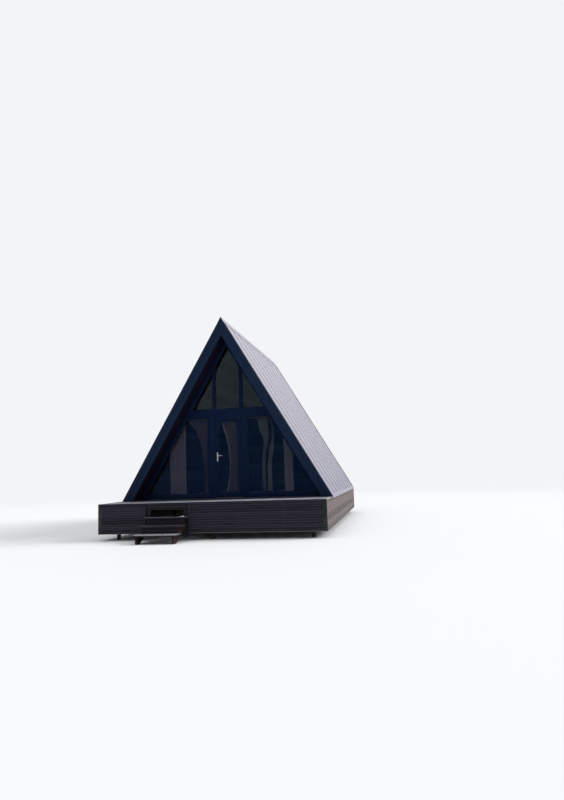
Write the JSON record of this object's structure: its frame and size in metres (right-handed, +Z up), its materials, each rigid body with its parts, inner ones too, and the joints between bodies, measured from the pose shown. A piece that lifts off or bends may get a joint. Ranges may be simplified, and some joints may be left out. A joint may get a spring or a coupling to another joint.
{
  "type": "a-frame cabin",
  "caption": "A-frame cabin with a steep metal-clad roof down to its deck, a glazed gable with a hinged door, an open terrace with boarded skirt and steps, on piles.",
  "frame": {"origin": "on the ground, under the middle of the whole plan with its steps", "axes": "+X to the right as seen from the front, +Y from the front to the back, +Z up"},
  "size_m": [6.0082, 10.52, 6.0929],
  "materials": {
    "pile_steel": "matt black coating",
    "frame_timber": "planed softwood",
    "impregnated_timber": "dark brown impregnation",
    "floor_boards": "oiled boards",
    "deck_boards": "grey stained, grooved boards",
    "skirt_boards": "dark stained narrow boards, weathered paler on the sides",
    "corner_trim": "dark green-black satin paint",
    "stringer_wood": "dark red-brown stain",
    "roof_sheet": "pale lavender-grey coating",
    "edge_trim": "blue-black satin coating",
    "fascia_paint": "blue-black satin coating",
    "lining_wood": "smoked varnish",
    "soffit_wood": "dark red-brown stain",
    "frame_profile": "blue-black foil",
    "glazing": "grey-toned double glazing, reflects bluish",
    "hardware": "white-silver coating",
    "hinge_coating": "blue-black satin coating",
    "rail_paint": "grey coating",
    "curtain_cloth": "grey and grey-green cloth"
  },
  "bodies": {
    "cabin": {"piles": "pile_steel", "long_beams": "impregnated_timber", "joists": "impregnated_timber", "floor": "floor_boards", "terrace_deck": "deck_boards", "skirt_front_left": "skirt_boards", "skirt_front_right": "skirt_boards", "skirt_over_steps": "skirt_boards", "skirt_sides": "skirt_boards", "skirt_back": "skirt_boards", "corner_posts": "corner_trim", "treads": "deck_boards", "step_risers": "skirt_boards", "stringers": "stringer_wood", "roof_left": "frame_timber", "roof_right": "frame_timber", "sheet_left": "roof_sheet", "sheet_right": "roof_sheet", "ridge_cap": "roof_sheet", "eave_flashings": "roof_sheet", "lining_left": "lining_wood", "lining_right": "lining_wood", "soffit_left": "soffit_wood", "soffit_right": "soffit_wood", "fascia_left": "fascia_paint", "fascia_right": "fascia_paint", "barge_left": "edge_trim", "barge_right": "edge_trim", "sill": "frame_profile", "lower_frame_left": "frame_profile", "lower_frame_right": "frame_profile", "upper_frame": "frame_profile", "transom": "frame_profile", "lower_glass": "glazing", "upper_glass": "glazing", "door_frame": "frame_profile", "frame_hinges": "hinge_coating", "back_wall_lower": "skirt_boards", "back_wall_upper": "skirt_boards", "back_transom": "fascia_paint", "upper_floor": "floor_boards", "curtain_rail": "rail_paint", "curtains_left": "curtain_cloth", "curtain_middle": "curtain_cloth", "curtains_right": "curtain_cloth"},
    "door": {"door_leaf": "frame_profile", "door_glass": "glazing", "door_handle": "hardware", "leaf_hinges": "hinge_coating"}
  },
  "joints": [
    {"name": "door_hinge", "type": "hinge", "parent": "cabin", "child": "door", "pos_m": [0.3875, -2.314, 2.115], "axis": [0, 0, 1], "range_deg": [0, 100]}
  ]
}
